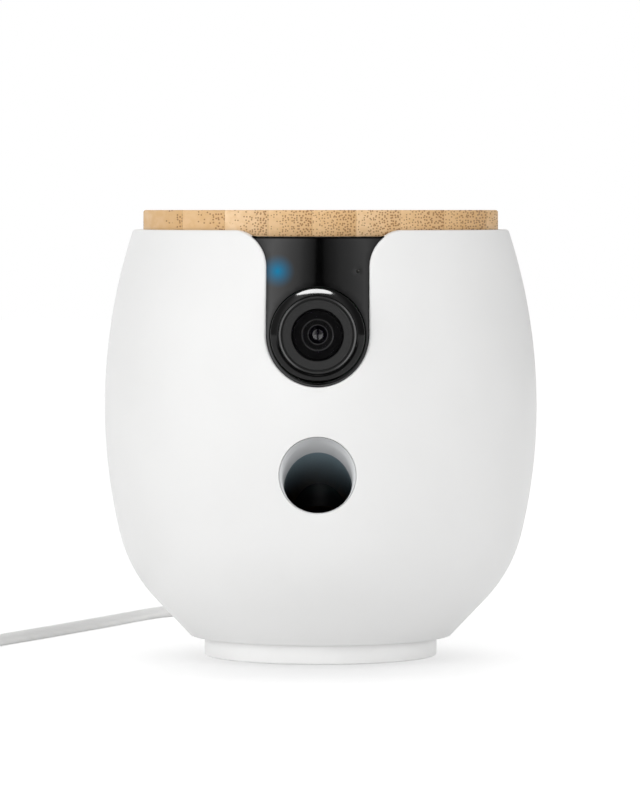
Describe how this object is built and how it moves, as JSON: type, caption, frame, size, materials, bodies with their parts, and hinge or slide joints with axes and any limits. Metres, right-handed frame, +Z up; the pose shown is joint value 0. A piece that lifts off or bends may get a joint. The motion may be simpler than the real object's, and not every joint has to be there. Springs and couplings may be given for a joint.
{
  "type": "treat-tossing pet camera",
  "caption": "Egg-shaped pet camera on a turning base: black lens window, treat outlet, wooden lid over a hopper with feed wheel and throwing arm, and a coiled supply lead.",
  "frame": {"origin": "centre of the foot ring's bottom, on the body's turning axis", "axes": "+Z up along the turning axis, -Y out of the front with the lens and the treat outlet, +X to the right as seen from the front"},
  "size_m": [0.224, 0.1887, 0.1236],
  "materials": {
    "shell_white": "satin",
    "base_white": "satin",
    "bamboo": "satin",
    "window_black": "gloss",
    "hood_black": "gloss",
    "barrel_black": "matte",
    "lens_glass": "polished",
    "sensor_dark": "gloss",
    "board_green": "satin",
    "chip_black": "matte",
    "led_blue": "gloss",
    "mic_metal": "satin",
    "outlet_white": "satin",
    "tube_grey": "satin",
    "hopper_white": "satin",
    "frame_grey": "matte",
    "acetal": "satin",
    "steel": "satin",
    "motor_can": "satin",
    "ballast": "raw",
    "foot_rubber": "matte",
    "seal_silicone": "matte",
    "feed_orange": "satin",
    "button_grey": "satin",
    "speaker_metal": "satin",
    "speaker_paper": "matte",
    "cord_white": "satin",
    "plug_white": "satin",
    "contact_metal": "polished",
    "tie_black": "matte"
  },
  "bodies": {
    "base": {"base_shell": "base_white", "base_cover": "base_white", "foot_ring": "foot_rubber", "ballast_disc": "ballast", "cover_screws": "steel", "pan_spindle": "acetal", "spindle_screws": "steel", "pan_gear": "acetal", "thrust_ring": "acetal", "strain_relief": "cord_white", "cord_run": "cord_white", "cord_coil": "cord_white", "cord_tail": "cord_white", "cord_tie": "tie_black", "plug_body": "plug_white", "plug_contact": "contact_metal"},
    "turret": {"outer_shell": "shell_white", "turret_floor": "shell_white", "deck_frame": "frame_grey", "frame_screws": "steel", "window_panel": "window_black", "lens_hood": "hood_black", "lens_barrel": "barrel_black", "front_glass": "lens_glass", "inner_lens": "lens_glass", "image_sensor": "sensor_dark", "camera_board": "board_green", "status_led": "led_blue", "microphone": "mic_metal", "outlet_nozzle": "outlet_white", "throw_tube": "tube_grey", "hopper": "hopper_white", "feed_well": "hopper_white", "feed_motor_mount": "frame_grey", "feed_motor": "motor_can", "throw_bracket": "frame_grey", "throw_motor": "motor_can", "pan_motor_mount": "frame_grey", "pan_motor": "motor_can", "main_board": "board_green", "board_chips": "chip_black", "button_board": "board_green", "button_switch": "chip_black", "speaker": "speaker_metal", "speaker_cone": "speaker_paper"},
    "lid": {"lid_disc": "bamboo", "lid_plug": "hopper_white", "lid_seal": "seal_silicone"},
    "feed_wheel": {"feed_wheel": "feed_orange", "feed_shaft": "steel", "feed_gear": "acetal"},
    "feed_pinion": {"feed_pinion": "acetal"},
    "thrower": {"throw_paddle": "feed_orange", "throw_shaft": "steel", "throw_gear": "acetal"},
    "throw_pinion": {"throw_pinion": "acetal"},
    "pan_pinion": {"pan_pinion": "acetal"},
    "setup_button": {"setup_button": "button_grey"}
  },
  "joints": [
    {"name": "turret_turn", "type": "hinge", "parent": "base", "child": "turret", "pos_m": [0, 0, 0.009], "axis": [0, 0, 1], "range_deg": [-180, 180]},
    {"name": "pan_pinion_turn", "type": "hinge", "parent": "turret", "child": "pan_pinion", "pos_m": [0.02, 0, 0.0113], "axis": [0, 0, 1], "range_deg": [-720, 720]},
    {"name": "lid_lift", "type": "slide", "parent": "turret", "child": "lid", "axis": [0, 0, 1], "range_m": [0, 0.06]},
    {"name": "feed_turn", "type": "hinge", "parent": "turret", "child": "feed_wheel", "pos_m": [0, 0, 0.0611], "axis": [0, 0, 1], "continuous": true},
    {"name": "feed_pinion_turn", "type": "hinge", "parent": "turret", "child": "feed_pinion", "pos_m": [0, 0.0132, 0.05], "axis": [0, 0, 1], "continuous": true},
    {"name": "throw_swing", "type": "hinge", "parent": "turret", "child": "thrower", "pos_m": [0, -0.02711, 0.0182], "axis": [1, 0, 0], "range_deg": [0, 40]},
    {"name": "throw_pinion_turn", "type": "hinge", "parent": "turret", "child": "throw_pinion", "pos_m": [-0.01, -0.01934, 0.02014], "axis": [1, 0, 0], "range_deg": [-60, 0]},
    {"name": "button_press", "type": "slide", "parent": "turret", "child": "setup_button", "axis": [0, -1, 0], "range_m": [0, 0.0008], "stiffness_N_per_m": 300}
  ],
  "couplings": [
    {"joint": "pan_pinion_turn", "follows": "turret_turn", "ratio": 4},
    {"joint": "feed_pinion_turn", "follows": "feed_turn", "ratio": -2},
    {"joint": "throw_pinion_turn", "follows": "throw_swing", "ratio": -1.5}
  ]
}
